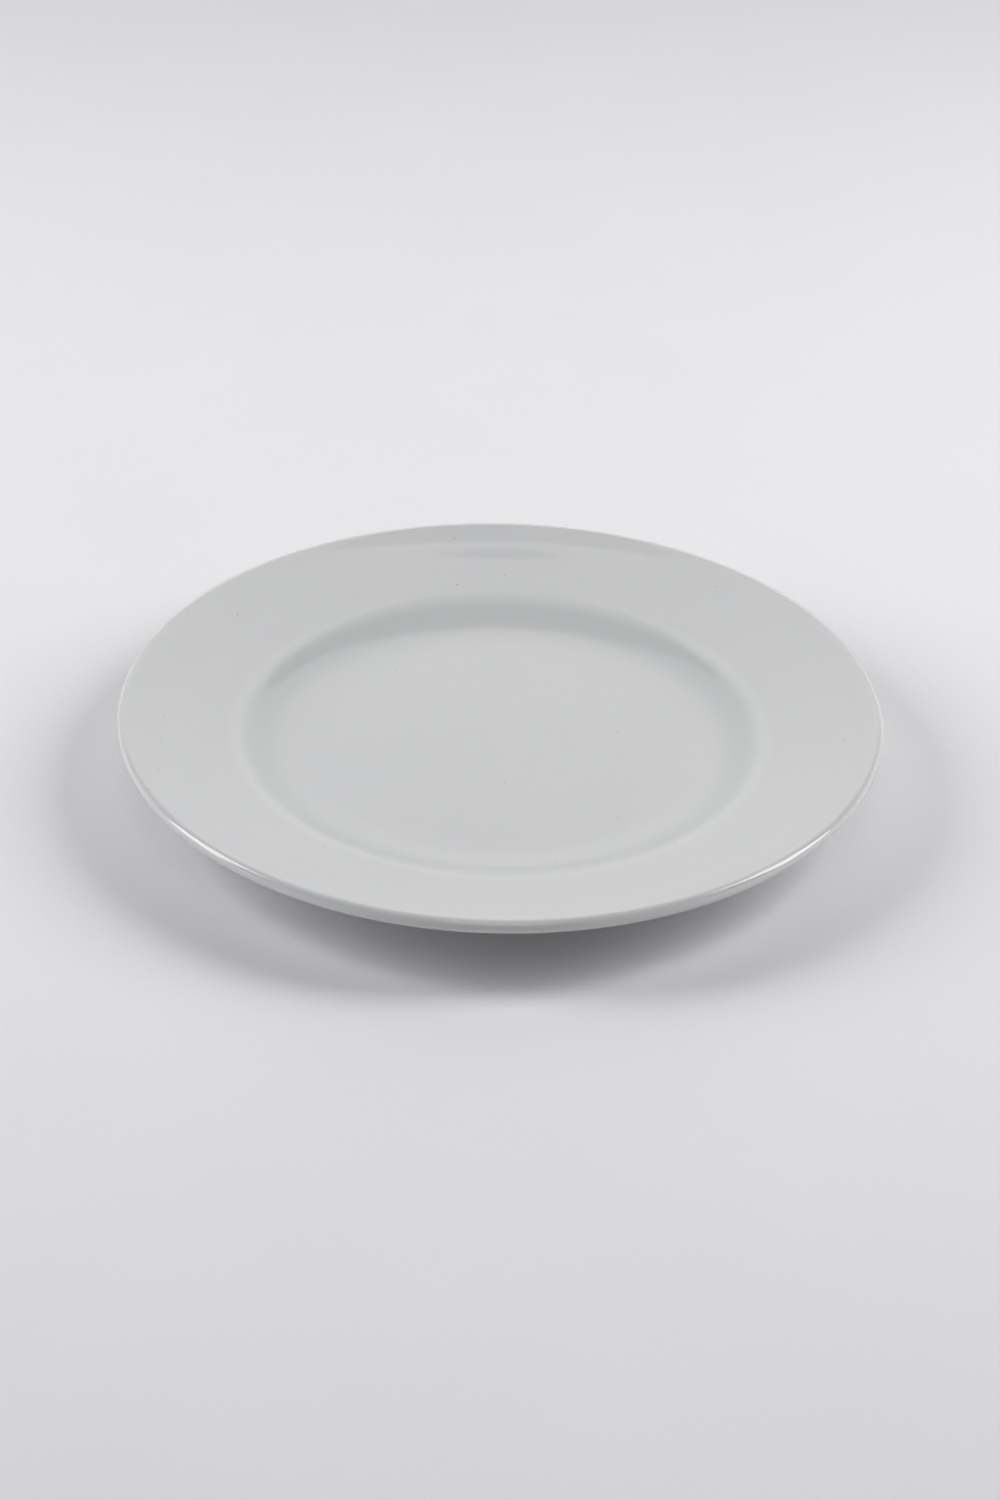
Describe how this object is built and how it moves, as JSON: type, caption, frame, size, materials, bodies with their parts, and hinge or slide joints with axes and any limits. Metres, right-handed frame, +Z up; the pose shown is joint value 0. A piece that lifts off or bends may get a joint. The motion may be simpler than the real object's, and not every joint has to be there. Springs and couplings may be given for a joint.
{
  "type": "cake plate",
  "caption": "Round rimmed porcelain plate for a slice of cake: a flat glazed well, a gently rising rim with a rounded lip, and a low bare foot ring to stand on.",
  "frame": {"origin": "centre of the foot ring's standing face, on the table", "axes": "+Z up along the plate's axis of revolution; +X and +Y lie in the table"},
  "size_m": [0.19, 0.19, 0.0193],
  "materials": {
    "biscuit_porcelain": "fired porcelain clay, bare and matt where the foot ring is wiped clean of glaze",
    "white_glaze": "smooth cool-white gloss glaze with faint waves and a few tiny iron specks"
  },
  "bodies": {
    "root": {"porcelain_body": "biscuit_porcelain", "upper_glaze": "white_glaze", "base_glaze": "white_glaze"}
  },
  "joints": []
}
